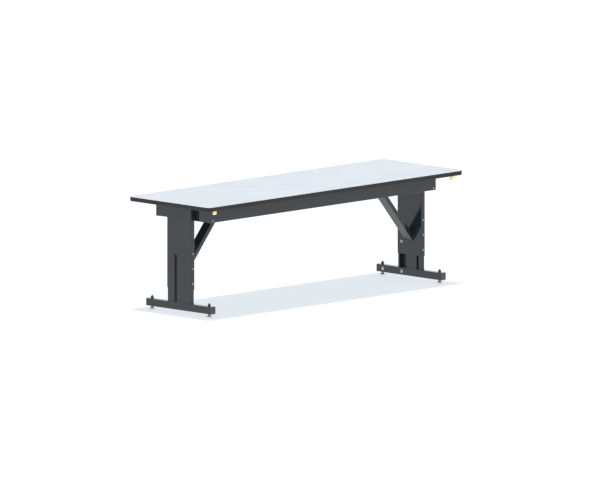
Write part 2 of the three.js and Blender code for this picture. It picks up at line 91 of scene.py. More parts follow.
def add_camera():
    data = bpy.data.cameras.new("camera")
    data.type = "ORTHO"
    data.ortho_scale = VIEW_WIDTH
    data.clip_end = CAMERA_SIGHT
    back = toward_camera(CAMERA_ELEVATION)
    camera = bpy.data.objects.new("camera", data)
    camera.location = CAMERA_AIM + back * CAMERA_DISTANCE
    camera.rotation_euler = back.to_track_quat("Z", "Y").to_euler()
    scene.collection.objects.link(camera)
    scene.camera = camera
    scene.view_settings.view_transform = "Standard"


def add_surroundings():
    """An even white room all round."""
    world = bpy.data.worlds.new("studio")
    world.use_nodes = True
    background = world.node_tree.nodes["Background"]
    background.inputs["Color"].default_value = WHITE
    background.inputs["Strength"].default_value = SURROUNDINGS
    scene.world = world


def floor_paint():
    """A matt grey that also glows, so that a shadow on it stays pale."""
    paint = bpy.data.materials.new("studio_floor")
    paint.use_nodes = True
    shader = paint.node_tree.nodes["Principled BSDF"]
    shader.inputs["Base Color"].default_value = FLOOR_ALBEDO
    shader.inputs["Roughness"].default_value = 1
    shader.inputs["Specular IOR Level"].default_value = 0
    shader.inputs["Emission Color"].default_value = FLOOR_GLOW
    shader.inputs["Emission Strength"].default_value = 1
    return paint


def add_floor():
    """A wide disc that no reflection shows. Returns the collection that holds only the floor."""
    mesh = bpy.data.meshes.new("floor")
    disc = bmesh.new()
    bmesh.ops.create_circle(disc, cap_ends=True, radius=FLOOR_RADIUS, segments=96)
    disc.to_mesh(mesh)
    disc.free()
    mesh.materials.append(floor_paint())
    floor = bpy.data.objects.new("floor", mesh)
    floor.location.z = -FLOOR_DROP
    floor.visible_glossy = False
    floor_only = bpy.data.collections.new("floor_only")
    scene.collection.children.link(floor_only)
    floor_only.objects.link(floor)
    return floor_only


def add_sun(name, strength, only_on=None):
    """A soft sun from straight above, which lights everything or only one collection."""
    data = bpy.data.lights.new(name, "SUN")
    data.energy = strength
    data.angle = SUN_ANGLE
    sun = bpy.data.objects.new(name, data)
    sun.location.z = SUN_HEIGHT
    scene.collection.objects.link(sun)
    if only_on:
        sun.light_linking.receiver_collection = only_on
    return sun


def add_studio():
    """The room, the floor, and three suns: two from above and a shadowless one from the camera's side."""
    add_surroundings()
    floor_only = add_floor()
    add_sun("floor_sun", FLOOR_SUN, floor_only)
    add_sun("soft_sun", TOP_SUN)
    fill = add_sun("fill_sun", FILL_SUN)
    fill.data.use_shadow = False
    fill.visible_glossy = False
    fill.rotation_euler = toward_camera(FILL_ELEVATION).to_track_quat("Z", "Y").to_euler()


# ---------------------------------------------------------------- materials
NOISE_LOW = 0.3         # nearly all noise values lie between these two
NOISE_HIGH = 0.7


class Finish:
    """A Principled material whose colour, roughness and bump come from noise over the surface."""

    def __init__(self, name):
        self.material = bpy.data.materials.new(name)
        self.material.use_nodes = True
        self.tree = self.material.node_tree
        self.shader = self.tree.nodes["Principled BSDF"]
        self.place = self.add("ShaderNodeTexCoord").outputs["Object"]

    def add(self, kind, **settings):
        node = self.tree.nodes.new(kind)
        for key, value in settings.items():
            setattr(node, key, value)
        return node

    def link(self, source, target):
        self.tree.links.new(source, target)

    def value(self, socket, number):
        self.shader.inputs[socket].default_value = number

    def stretched(self, scale):
        mapping = self.add("ShaderNodeMapping")
        mapping.inputs["Scale"].default_value = scale
        self.link(self.place, mapping.inputs["Vector"])
        return mapping.outputs["Vector"]

    def noise(self, scale, detail, stretch=None):
        """Noise with features about 1/scale metres across."""
        node = self.add("ShaderNodeTexNoise")
        node.inputs["Scale"].default_value = scale
        node.inputs["Detail"].default_value = detail
        self.link(self.stretched(stretch) if stretch else self.place, node.inputs["Vector"])
        return node.outputs["Fac"]

    def ramp(self, source, stops):
        """A ramp over source, from (position, colour) pairs. One number is a shade of grey."""
        node = self.add("ShaderNodeValToRGB")
        for element, (position, color) in zip(node.color_ramp.elements, stops):
            element.position = position
            element.color = (*color, 1) if isinstance(color, tuple) else (color, color, color, 1)
        self.link(source, node.inputs["Fac"])
        return node.outputs["Color"]

    def two_tone(self, dark, light, scale, detail):
        """Soft clouds between two colours."""
        return self.ramp(self.noise(scale, detail), [(NOISE_LOW, dark), (NOISE_HIGH, light)])

    def flecks(self, scale, detail, start, full, strength):
        """A mask of scattered spots: none where the noise is below start, and strength above full."""
        return self.ramp(self.noise(scale, detail), [(start, 0.0), (full, strength)])

    def over(self, mask, under, color):
        """A colour over what is under it, as far as the mask lets it through."""
        node = self.add("ShaderNodeMix", data_type="RGBA")
        self.link(mask, node.inputs["Factor"])
        self.link(under, node.inputs["A"])
        node.inputs["B"].default_value = (*color, 1)
        return node.outputs["Result"]

    def color(self, source):
        self.link(source, self.shader.inputs["Base Color"])

    def roughness(self, low, high, scale, stretch=None):
        spread = self.add("ShaderNodeMapRange")
        spread.inputs["From Min"].default_value = NOISE_LOW
        spread.inputs["From Max"].default_value = NOISE_HIGH
        spread.inputs["To Min"].default_value = low
        spread.inputs["To Max"].default_value = high
        self.link(self.noise(scale, 4, stretch), spread.inputs["Value"])
        self.link(spread.outputs["Result"], self.shader.inputs["Roughness"])

    def bump(self, source, depth, strength):
        """Raises the surface by up to depth metres where source is bright."""
        node = self.add("ShaderNodeBump")
        node.inputs["Strength"].default_value = strength
        node.inputs["Distance"].default_value = depth
        self.link(source, node.inputs["Height"])
        self.link(node.outputs["Normal"], self.shader.inputs["Normal"])


def powder_coat():
    """Glossy black powder coat: a faint orange peel, and scuffs that let a little grey through."""
    finish = Finish("black_powder_coat_look")
    scuffs = finish.flecks(scale=38, detail=9, start=0.60, full=0.74, strength=0.35)
    mottle = finish.two_tone((0.0110, 0.0150, 0.0185), (0.0140, 0.0180, 0.0220), scale=7, detail=4)
    finish.color(finish.over(scuffs, mottle, (0.036, 0.036, 0.037)))
    finish.value("Specular IOR Level", 0.385)
    finish.roughness(0.10, 0.17, scale=11)
    finish.bump(finish.noise(620, detail=2), depth=0.02 * MM, strength=0.35)
    return finish.material


def laminate():
    """Pale grey-blue laminate: a fine speckle and faint wipe marks along the worktop."""
    finish = Finish("light_laminate_look")
    cloud = finish.two_tone((0.385, 0.428, 0.477), (0.408, 0.450, 0.501), scale=3.5, detail=3)
    speckle = finish.flecks(scale=900, detail=2, start=0.58, full=0.66, strength=0.55)
    finish.color(finish.over(speckle, cloud, (0.326, 0.365, 0.410)))
    finish.roughness(0.38, 0.50, scale=14, stretch=(0.35, 1, 1))
    finish.bump(finish.noise(1400, detail=2), depth=0.02 * MM, strength=0.3)
    return finish.material


def moulded_plastic(name, dark, light, low, high, grain=1500):
    """Fine-grained moulded plastic with a slightly uneven tint. Its roughness is from low to high."""
    finish = Finish(name)
    finish.color(finish.two_tone(dark, light, scale=24, detail=4))
    finish.roughness(low, high, scale=60)
    finish.bump(finish.noise(grain, detail=3), depth=0.03 * MM, strength=0.5)
    return finish.material


def edge_band():
    """Dark plastic edging with a fine haircell grain and small knocks along it."""
    finish = Finish("dark_edge_band_look")
    tint = finish.two_tone((0.0085, 0.0087, 0.0095), (0.0135, 0.0138, 0.015), scale=9, detail=5)
    knocks = finish.flecks(scale=70, detail=8, start=0.66, full=0.74, strength=0.5)
    finish.color(finish.over(knocks, tint, (0.034, 0.034, 0.035)))
    finish.value("Specular IOR Level", 0.24)
    finish.roughness(0.46, 0.58, scale=35)
    finish.bump(finish.noise(1100, detail=3), depth=0.03 * MM, strength=0.5)
    return finish.material


def plated(name, dark, light, low, high, stretch=None):
    """Plated or machined metal: patchy tint and fine tool marks. Its roughness is from low to high."""
    finish = Finish(name)
    finish.value("Metallic", 1.0)
    finish.color(finish.two_tone(dark, light, scale=160, detail=5))
    finish.roughness(low, high, scale=240, stretch=stretch)
    finish.bump(finish.noise(1800, detail=3, stretch=stretch), depth=0.02 * MM, strength=0.4)
    return finish.material


def cast_aluminium():
    """Die-cast metal with a slightly rough skin."""
    finish = Finish("cast_aluminium_look")
    finish.value("Metallic", 1.0)
    finish.color(finish.two_tone((0.36, 0.37, 0.38), (0.44, 0.45, 0.46), scale=90, detail=6))
    finish.roughness(0.46, 0.58, scale=140)
    finish.bump(finish.noise(900, detail=3), depth=0.05 * MM, strength=0.5)
    return finish.material


def particle_board():
    """Pressed wood chips."""
    finish = Finish("particle_board_look")
    chips = finish.add("ShaderNodeTexVoronoi", feature="F1")
    chips.inputs["Scale"].default_value = 260
    finish.link(finish.stretched((0.45, 1, 1.6)), chips.inputs["Vector"])
    tint = finish.ramp(chips.outputs["Color"], [(0.1, (0.30, 0.20, 0.11)), (0.9, (0.62, 0.47, 0.29))])
    finish.color(finish.over(finish.noise(700, detail=3), tint, (0.42, 0.31, 0.19)))
    finish.roughness(0.75, 0.92, scale=50)
    finish.bump(chips.outputs["Distance"], depth=0.2 * MM, strength=0.6)
    return finish.material


def rubber():
    """Matt black rubber with a little dust on it."""
    finish = Finish("black_rubber_look")
    clean = (0.008, 0.008, 0.008)
    dusty = (0.020, 0.020, 0.019)
    finish.color(finish.ramp(finish.noise(45, detail=6), [(0.45, clean), (0.8, dusty)]))
    finish.value("Specular IOR Level", 0.25)
    finish.roughness(0.72, 0.9, scale=80)
    finish.bump(finish.noise(900, detail=3), depth=0.04 * MM, strength=0.5)
    return finish.material


LOOKS = {
    "light_laminate": laminate(),
    "dark_edge_band": edge_band(),
    "dark_backer": moulded_plastic(
        "dark_backer_look", (0.016, 0.016, 0.017), (0.024, 0.024, 0.026), 0.5, 0.65, grain=700),
    "particle_board": particle_board(),
    "black_powder_coat": powder_coat(),
    "zinc_plate": plated(
        "zinc_plate_look", (0.27, 0.275, 0.28), (0.38, 0.385, 0.39), 0.32, 0.46),
    "black_plastic": moulded_plastic(
        "black_plastic_look", (0.018, 0.018, 0.019), (0.03, 0.03, 0.032), 0.32, 0.45),
    "yellow_plastic": moulded_plastic(
        "yellow_plastic_look", (0.86, 0.70, 0.22), (0.90, 0.76, 0.28), 0.3, 0.42, grain=1100),
    "cast_aluminium": cast_aluminium(),
    "dark_motor_paint": moulded_plastic(
        "dark_motor_paint_look", (0.022, 0.023, 0.026), (0.034, 0.035, 0.039), 0.4, 0.52, grain=800),
    "black_oxide": plated(
        "black_oxide_look", (0.13, 0.13, 0.134), (0.20, 0.20, 0.205), 0.35, 0.5),
    "bright_steel": plated(
        "bright_steel_look", (0.52, 0.53, 0.54), (0.66, 0.67, 0.68), 0.2, 0.32, stretch=(0.05, 1, 1)),
    "bronze": plated(
        "bronze_look", (0.50, 0.32, 0.12), (0.64, 0.43, 0.18), 0.28, 0.42),
    "black_rubber": rubber(),
}
PAD_LOOK = plated(          # the levelling pads' zinc, paler than the bolts'
    "satin_zinc_look", (0.49, 0.50, 0.51), (0.62, 0.63, 0.64), 0.38, 0.5)

# ---------------------------------------------------------------- edges and shading
SHARP_ANGLE = math.radians(35)          # an edge sharper than this is shaded as an edge
BEVEL_ANGLE = math.radians(40)          # an edge sharper than this is taken off
FLAT_ANGLE = math.radians(0.3)          # faces flatter than this are merged
WELD_GAP = 0.01 * MM
SOFT_EDGE = {
    "black_powder_coat": 0.5 * MM,
    "dark_edge_band": 0.4 * MM,
    "light_laminate": 0.15 * MM,
    "black_plastic": 0.6 * MM,
    "yellow_plastic": 0.8 * MM,
    "cast_aluminium": 0.8 * MM,
    "zinc_plate": 0.4 * MM,
    "bronze": 0.5 * MM,
}


def smoothing_group():
    """Geometry nodes that shade the faces smoothly and keep the sharp edges."""
    group = bpy.data.node_groups.new("smooth_by_angle", "GeometryNodeTree")
    group.interface.new_socket("Geometry", in_out="INPUT", socket_type="NodeSocketGeometry")
    group.interface.new_socket("Geometry", in_out="OUTPUT", socket_type="NodeSocketGeometry")
    start = group.nodes.new("NodeGroupInput")
    end = group.nodes.new("NodeGroupOutput")
    faces = group.nodes.new("GeometryNodeSetShadeSmooth")
    edges = group.nodes.new("GeometryNodeSetShadeSmooth")
    edges.domain = "EDGE"
    edges.inputs["Shade Smooth"].default_value = False
    angle = group.nodes.new("GeometryNodeInputMeshEdgeAngle")
    sharp = group.nodes.new("FunctionNodeCompare")
    sharp.inputs["B"].default_value = SHARP_ANGLE
    link = group.links.new
    link(start.outputs["Geometry"], faces.inputs["Geometry"])
    link(angle.outputs["Unsigned Angle"], sharp.inputs["A"])
    link(sharp.outputs["Result"], edges.inputs["Selection"])
    link(faces.outputs["Geometry"], edges.inputs["Geometry"])
    link(edges.outputs["Geometry"], end.inputs["Geometry"])
    return group


SMOOTHING = smoothing_group()


def finish_edges(obj, width=0):
    """Joins the faces up, takes the sharp edges off by width and shades the curves smoothly."""
    weld = obj.modifiers.new("join_faces", "WELD")
    weld.merge_threshold = WELD_GAP
    if width:
        flat = obj.modifiers.new("merge_flat_faces", "DECIMATE")
        flat.decimate_type = "DISSOLVE"
        flat.angle_limit = FLAT_ANGLE
        bevel = obj.modifiers.new("soft_edges", "BEVEL")
        bevel.width = width
        bevel.segments = 2
        bevel.limit_method = "ANGLE"
        bevel.angle_limit = BEVEL_ANGLE
    shading = obj.modifiers.new("shading", "NODES")
    shading.node_group = SMOOTHING
    even = obj.modifiers.new("even_flats", "WEIGHTED_NORMAL")
    even.keep_sharp = True
    even.weight = 100


def dress_cad_nodes():
    """Gives each CAD node its slot's look and soft edges."""
    for obj in nodes.values():
        slot = obj.material_slots[0].name
        obj.material_slots[0].material = LOOKS[slot]
        custom = obj.data.attributes.get("custom_normal")
        if custom:
            obj.data.attributes.remove(custom)
        finish_edges(obj, SOFT_EDGE.get(slot, 0))


# ---------------------------------------------------------------- shapes for the added pieces
SAME_POINT = 0.001 * MM     # points closer than this are one
CORNER_STEPS = 6            # the steps round a quarter turn
HOLE_STEPS = 20             # the steps round a hole in a plate
QUARTERS = ((1, 1), (-1, 1), (-1, -1), (1, -1))
UPRIGHT = 0.999             # a unit vector that rises more than this is vertical


def skin(shape, loops, hollow=False):
    """Faces from each loop of points to the next. The ends are capped, or they join if it is hollow."""
    pairs = list(zip(loops, loops[1:]))
    if hollow:
        pairs.append((loops[-1], loops[0]))
    for lower, upper in pairs:
        for i in range(len(lower)):
            after = (i + 1) % len(lower)
            shape.faces.new((lower[i], lower[after], upper[after], upper[i]))
    if not hollow:
        shape.faces.new(list(reversed(loops[0])))
        shape.faces.new(loops[-1])


def ring_stack(rings, segments=24, hollow=False, unit=1):
    """A shape along +Z through a profile of rings: (radius, height), or (radius, height, corners) for a
    ring that isn't round. It is capped at both ends, or hollow: the last ring joins the first."""
    shape = bmesh.new()
    loops = []
    for radius, height, *corners in rings:
        loop = []
        for i in range(segments):
            angle = math.tau * i / segments
            reach = radius * unit
            if corners:
                part = math.tau / corners[0]
                reach *= math.cos(part / 2) / math.cos(angle % part - part / 2)
            point = (reach * math.cos(angle), reach * math.sin(angle), height * unit)
            loop.append(shape.verts.new(point))
        loops.append(loop)
    skin(shape, loops, hollow)
    return shape


def scaled(profile, radius, height):
    """Rings at their real size, from a profile in parts of a radius and a height."""
    return [(part * radius, rise * height, *corners) for part, rise, *corners in profile]


def washer(outer, inner, thick):
    """A flat washer with soft edges, standing on z = 0."""
    soft = 0.2 * thick
    return ring_stack([
        (inner, 0),
        (outer - soft, 0),
        (outer, soft),
        (outer, thick - soft),
        (outer - soft, thick),
        (inner + soft, thick),
        (inner, thick - soft),
    ], hollow=True)


def thread(root, crest, pitch, length, segments=20):
    """A helical V thread from z = 0 to length, closed at both ends.

    Its points run round in turns that climb one pitch each, alternately in the root and on the crest, and
    each turn starts half a pitch above the last. So the end of turn k meets the start of turn k + 2. What
    lies past either end is pressed flat onto it."""
    shape = bmesh.new()
    count = 2 * math.ceil(length / pitch) + 6
    verts = {}
    for k in range(count):
        for i in range(segments):
            z = min(max(pitch * (k / 2 - 1 + i / segments), 0), length)
            on_crest = k % 2 and 0 < z < length
            reach = crest if on_crest else root
            angle = math.tau * i / segments
            verts[k, i] = shape.verts.new((reach * math.cos(angle), reach * math.sin(angle), z))
    for k in range(count - 3):
        for i in range(segments):
            wraps = i + 1 == segments
            low = verts[k + 2, 0] if wraps else verts[k, i + 1]
            high = verts[k + 3, 0] if wraps else verts[k + 1, i + 1]
            shape.faces.new((verts[k, i], low, high, verts[k + 1, i]))
    bmesh.ops.remove_doubles(shape, verts=shape.verts, dist=SAME_POINT)
    bmesh.ops.dissolve_degenerate(shape, dist=SAME_POINT, edges=shape.edges)
    loose = [vert for vert in shape.verts if not vert.link_faces]
    bmesh.ops.delete(shape, geom=loose, context="VERTS")
    open_edges = [edge for edge in shape.edges if edge.is_boundary]
    bmesh.ops.holes_fill(shape, edges=open_edges, sides=0)
    return shape


def round_rectangle(width, height, corner, inset=0):
    """The points round a rectangle with round corners, all moved inward by an inset."""
    points = []
    for turn, (side_x, side_y) in enumerate(QUARTERS):
        for i in range(CORNER_STEPS + 1):
            angle = math.pi / 2 * (turn + i / CORNER_STEPS)
            points.append((
                side_x * (width / 2 - corner) + (corner - inset) * math.cos(angle),
                side_y * (height / 2 - corner) + (corner - inset) * math.sin(angle),
            ))
    return points


def plate(width, height, thick, corner, edge):
    """A flat plate standing on z = 0, with round corners and its upper edge taken off."""
    shape = bmesh.new()
    levels = [(0, 0), (0, thick - edge), (0.3 * edge, thick - 0.3 * edge), (edge, thick)]
    loops = []
    for inset, z in levels:
        points = round_rectangle(width, height, corner, inset)
        loops.append([shape.verts.new((x, y, z)) for x, y in points])
    skin(shape, loops)
    return shape


def pierced_plate(width, height, thick, corner, holes):
    """A plate with round corners, soft edges and round holes, from (x, y, radius) triples."""
    soft = 0.3 * MM
    curve = bpy.data.curves.new("outline", "CURVE")
    curve.dimensions = "2D"
    curve.fill_mode = "BOTH"
    curve.extrude = thick / 2 - soft
    curve.bevel_depth = soft
    curve.bevel_resolution = 1
    curve.offset = -soft
    loops = [round_rectangle(width, height, corner)]
    turns = [math.tau * i / HOLE_STEPS for i in range(HOLE_STEPS)]
    for x, y, radius in holes:
        loops.append([(x + radius * math.cos(a), y + radius * math.sin(a)) for a in turns])
    for loop in loops:
        spline = curve.splines.new("POLY")
        spline.points.add(len(loop) - 1)
        for point, (x, y) in zip(spline.points, loop):
            point.co = (x, y, 0, 1)
        spline.use_cyclic_u = True
    holder = bpy.data.objects.new("outline", curve)
    mesh = bpy.data.meshes.new_from_object(holder)
    shape = bmesh.new()
    shape.from_mesh(mesh)
    bmesh.ops.remove_doubles(shape, verts=shape.verts, dist=SAME_POINT)
    bmesh.ops.translate(shape, verts=shape.verts, vec=(0, 0, thick / 2))
    bpy.data.objects.remove(holder)
    bpy.data.curves.remove(curve)
    bpy.data.meshes.remove(mesh)
    return shape


def bent_tab(reach, rise, width, thick):
    """An L of bent strip: one leg out along +X on z = 0, the other up along +Z at x = 0."""
    bend = 1.5 * thick
    turns = [math.pi / 2 * i / CORNER_STEPS for i in range(CORNER_STEPS + 1)]
    arc = [(bend - bend * math.sin(turn), bend - bend * math.cos(turn)) for turn in turns]
    outside = [(reach, 0), *arc, (0, rise)]
    inside = [(thick, rise)]
    for x, z in reversed(arc):
        toward = Vector((bend - x, bend - z)).normalized() * thick
        inside.append((x + toward.x, z + toward.y))
    inside.append((reach, thick))
    shape = bmesh.new()
    loops = []
    for y in (-width / 2, width / 2):
        loops.append([shape.verts.new((x, y, z)) for x, z in outside + inside])
    skin(shape, loops)
    return shape


# ---------------------------------------------------------------- placing the added pieces
def face_at(node, axis, side):
    """Where a node's box ends along an axis: at its low side (-1) or at its high side (1)."""
    low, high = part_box(node)
    return high[axis] if side > 0 else low[axis]


def middle(node):
    """The middle of a node's box."""
    low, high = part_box(node)
    return (low + high) / 2


def underside(node):
    """The middle of a node's lowest face."""
    centre = middle(node)
    return Vector((centre.x, centre.y, face_at(node, Z, -1)))


def facing(toward):
    """The turn that points +Z toward a direction and keeps +X level."""
    z = Vector(toward).normalized()
    vertical = abs(z.z) > UPRIGHT
    x = Vector((1, 0, 0)) if vertical else Vector((0, 0, 1)).cross(z).normalized()
    return Matrix((x, z.cross(x), z)).transposed().to_4x4()


def add_piece(name, shape, slot, body, at, toward=UP, soft=0, look=None):
    """A new piece from a bmesh. Its own +Z points toward a direction, or toward is the whole turn.
    Its look is its slot's own, unless another is given."""
    mesh = bpy.data.meshes.new(name)
    bmesh.ops.recalc_face_normals(shape, faces=shape.faces)
    shape.to_mesh(mesh)
    shape.free()
    mesh.materials.append(look or LOOKS[slot])
    piece = bpy.data.objects.new(name, mesh)
    turn = toward if isinstance(toward, Matrix) else facing(toward)
    piece.matrix_world = Matrix.Translation(at) @ turn
    scene.collection.objects.link(piece)
    finish_edges(piece, soft)
    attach(piece, body)
    return piece


# ---------------------------------------------------------------- bolts and screws
HEADS = {       # the radius and height of each kind of button head
    "foot": (10.5 * MM, 3.2 * MM),
    "beam": (7 * MM, 4.5 * MM),
    "brace": (3.8 * MM, 2.4 * MM),
    "clip": (3.6 * MM, 2.4 * MM),
    "motor": (2.8 * MM, 1.8 * MM),
    "gearbox": (2.6 * MM, 1.8 * MM),
    "flange": (4 * MM, 2.6 * MM),
    "bearing": (2.8 * MM, 2 * MM),
    "lid": (3 * MM, 1.8 * MM),
    "lug": (3.4 * MM, 2 * MM),
}
HEAD_PROFILE = [    # up over the dome and down into the hexagonal socket
    (0.97, 0), (1, 0.08), (1, 0.32), (0.95, 0.58), (0.84, 0.80), (0.68, 0.94), (0.52, 1),
    (0.46, 1, 6), (0.43, 0.94, 6), (0.43, 0.4, 6),
]
FOOT_BOLT_PLACES = (65.5 * MM, 245 * MM)
FOOT_WASHER = {"reach": 1.19, "hole": 0.5}      # parts of the bolt's radius
FOOT_WASHER_THICK = 1.2 * MM
BEAM_BOLT = {"inset": 25.7 * MM, "rise": 16 * MM}


def add_screw(name, kind, body, at, toward):
    """A zinc-plated button head with a hexagonal socket, standing on a face."""
    head = ring_stack(scaled(HEAD_PROFILE, *HEADS[kind]))
    add_piece(name, head, "zinc_plate", body, at, toward)


def add_foot_bolts(name, side):
    """Two bolts with washers through the inner face of the foot bar."""
    inner_x = face_at(f"{name}_foot_bar", X, -side)
    inward = Vector((-side, 0, 0))
    radius = HEADS["foot"][0]
    for number, y in enumerate(FOOT_BOLT_PLACES, 1):
        at = Vector((inner_x, y, middle(f"{name}_front_end_cap").z))
        ring = washer(radius * FOOT_WASHER["reach"], radius * FOOT_WASHER["hole"], FOOT_WASHER_THICK)
        add_piece(f"{name}_foot_washer_{number}", ring, "zinc_plate", f"{name}_base", at, inward)
        bolt_at = at + inward * FOOT_WASHER_THICK
        add_screw(f"{name}_foot_bolt_{number}", "foot", f"{name}_base", bolt_at, inward)


def add_beam_bolts():
    """A bolt near each end of the front and rear beams, low on the outer face."""
    for end, toward in ENDS.items():
        low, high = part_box(f"{end}_beam")
        outer_y = face_at(f"{end}_beam", Y, toward)
        for name, side in SIDES.items():
            at = Vector((side * (high.x - BEAM_BOLT["inset"]), outer_y, low.z + BEAM_BOLT["rise"]))
            add_screw(f"{name}_{end}_beam_bolt", "beam", "top_frame", at, (0, toward, 0))


# ---------------------------------------------------------------- levelling feet
STUD = {"root": 5.45 * MM, "crest": 6.3 * MM, "pitch": 1.75 * MM, "tip": 2 * MM}
COLLAR = {"gap": 2 * MM, "height": 8 * MM, "chamfer": 1.1 * MM}
COLLAR_HEXAGON = 0.99       # how far its corners reach, as a part of the CAD stud's half width
COLLAR_END = 0.88           # and how far its round ends do
TIP_PROFILE = [(1, 0), (1, 0.35), (0.93, 0.75), (0.8, 1), (0.42, 1, 4), (0.40, 0.2, 4)]
PAD_PROFILE = [             # from the rim's lower edge, up over the dome, to the hole in the neck
    (0.94, 0.06), (0.985, 0.08), (1, 0.13), (1, 0.64), (0.985, 0.69), (0.94, 0.72), (0.80, 0.76),
    (0.66, 0.82), (0.56, 0.89), (0.51, 0.95), (0.47, 0.99), (0.44, 1), (0.315, 1), (0.305, 0.97),
    (0.305, 0.6),
]
SOLE = {"radius": 0.92, "edge": 0.90, "height": 0.08, "curl": 0.07}     # parts of the pad's own size
SOLE_EDGE = 0.3 * MM


def stud_collar(reach):
    """The hexagon that a spanner turns, with its corners taken off at both ends."""
    chamfer = COLLAR["chamfer"]
    height = COLLAR["height"]
    return ring_stack([
        (STUD["root"], 0),
        (reach * COLLAR_END, 0),
        (reach * COLLAR_HEXAGON, chamfer, 6),
        (reach * COLLAR_HEXAGON, height - chamfer, 6),
        (reach * COLLAR_END, height),
        (STUD["root"], height),
    ], segments=48, hollow=True)


def add_levelling_studs(name):
    """Threaded studs with a socket in the tip and a hexagonal collar, in place of the plain CAD ones."""
    for end in ENDS:
        node = f"{name}_{end}_leveller_stud"
        body = f"{name}_{end}_leveller"
        low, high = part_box(node)
        base = underside(node)
        length = high.z - low.z - STUD["tip"]
        rod = thread(STUD["root"], STUD["crest"], STUD["pitch"], length)
        stud = add_piece(f"{name}_{end}_threaded_stud", rod, "black_oxide", body, base)
        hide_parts(node)
        tip = ring_stack(scaled(TIP_PROFILE, STUD["root"], STUD["tip"]))
        tip_at = base + Vector((0, 0, length))
        add_piece(f"{name}_{end}_stud_tip", tip, "black_oxide", body, tip_at)
        collar_z = face_at(f"{name}_{end}_leveller_pad", Z, 1) + COLLAR["gap"]
        collar_at = Vector((base.x, base.y, collar_z))
        collar = stud_collar((high.x - low.x) / 2)
        add_piece(f"{name}_{end}_stud_collar", collar, "black_oxide", body, collar_at)


def add_pads(name):
    """Pressed levelling feet with a rolled rim, a domed neck and a thin rubber sole."""
    for end in ENDS:
        node = f"{name}_{end}_leveller_pad"
        body = f"{name}_{end}_leveller"
        low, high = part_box(node)
        radius = (high.x - low.x) / 2
        height = high.z - low.z
        dish = ring_stack(scaled(PAD_PROFILE, radius, height), segments=40)
        pad = add_piece(f"{name}_{end}_pad_dish", dish, "zinc_plate", body, underside(node), look=PAD_LOOK)
        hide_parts(node)
        sole = ring_stack([
            (SOLE["edge"] * radius, 0),
            (SOLE["radius"] * radius, SOLE_EDGE),
            (SOLE["radius"] * radius, SOLE["curl"] * height),
            (SOLE["edge"] * radius, SOLE["height"] * height),
        ], segments=40)
        add_piece(f"{name}_{end}_pad_sole", sole, "black_rubber", body, underside(node))


def add_end_cap_panels():
    """A raised panel moulded on each end cap of the feet."""
    margin = 4.5 * MM
    for name in SIDES:
        for end, toward in ENDS.items():
            node = f"{name}_{end}_end_cap"
            low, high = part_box(node)
            centre = middle(node)
            width = high.x - low.x - 2 * margin
            height = high.z - low.z - 2 * margin
            panel = plate(width, height, thick=0.6 * MM, corner=3 * MM, edge=0.5 * MM)
            at = Vector((centre.x, face_at(node, Y, toward), centre.z))
            add_piece(f"{name}_{end}_cap_panel", panel, "black_plastic", f"{name}_base", at, (0, toward, 0))


# ---------------------------------------------------------------- knee braces and welds
BRACE = {"angle": math.radians(40), "depth": 28.5 * MM}
BRACE_PLATE = {"thick": 3 * MM, "overhang": 10 * MM}        # on its upper end, wider than the brace
BRACE_BOLT_SPREAD = 15 * MM
WELD = {"step": 1.1 * MM, "ripple": 0.16, "tail": 0.4}      # ripple and tail are parts of the radius
FRAME_BEAD = 2.2 * MM
COLUMN_BEAD = 1.6 * MM
BEAD_STOPS = {"bottom": 4 * MM, "top": 2 * MM}      # how far short of the member's edges a bead stops


def weld_bead(length, radius):
    """A bead of weld metal from z = 0 to length, with a ripple for each step of the torch."""
    count = max(4, round(length / WELD["step"]))
    rings = [(radius * WELD["tail"], 0)]
    for i in range(1, count):
        ripple = 1 - WELD["ripple"] * (i % 2)
        rings.append((radius * ripple, length * i / count))
    rings.append((radius * WELD["tail"], length))
    return ring_stack(rings, segments=10)


def add_bead(name, body, start, end, radius=FRAME_BEAD):
    """A weld bead from one point to another."""
    run = Vector(end) - Vector(start)
    add_piece(name, weld_bead(run.length, radius), "black_powder_coat", body, start, run)


def add_brace_bolts(name):
    """Four small bolts through the brace's top plate, up into the cross member."""
    low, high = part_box(f"{name}_knee_brace")
    half = (high.y - low.y - BRACE_PLATE["overhang"]) / 2
    places = [(x, y) for x in (-BRACE_BOLT_SPREAD, BRACE_BOLT_SPREAD) for y in (-half, half)]
    for number, (x, y) in enumerate(places, 1):
        at = (middle(f"{name}_cross_member").x + x, y, high.z - BRACE_PLATE["thick"])
        add_screw(f"{name}_brace_bolt_{number}", "brace", "top_frame", at, DOWN)


def add_brace_welds(name, side):
    """Fillet welds round the knee brace's lower end, on the sleeve."""
    low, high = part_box(f"{name}_knee_brace")
    x = face_at(f"{name}_sleeve", X, -side)
    half = (high.y - low.y) / 2 - BRACE_PLATE["overhang"]
    top = low.z + BRACE["depth"] / math.sin(BRACE["angle"])
    corners = [(-half, low.z), (half, low.z), (half, top), (-half, top)]
    for number, (start, end) in enumerate(zip(corners, corners[1:] + corners[:1]), 1):
        add_bead(f"{name}_brace_weld_{number}", "top_frame", (x, *start), (x, *end))


def add_column_welds(name, side):
    """Fillet welds along the foot of the column: its outer face, and the tube's width on its inner face."""
    column = f"{name}_inner_column"
    z = face_at(column, Z, -1)
    for word, toward, node in (("outer", side, column), ("inner", -side, f"{name}_actuator_tube")):
        x = face_at(column, X, toward)
        start = (x, face_at(node, Y, -1), z)
        end = (x, face_at(node, Y, 1), z)
        add_bead(f"{name}_column_weld_{word}", f"{name}_base", start, end, COLUMN_BEAD)


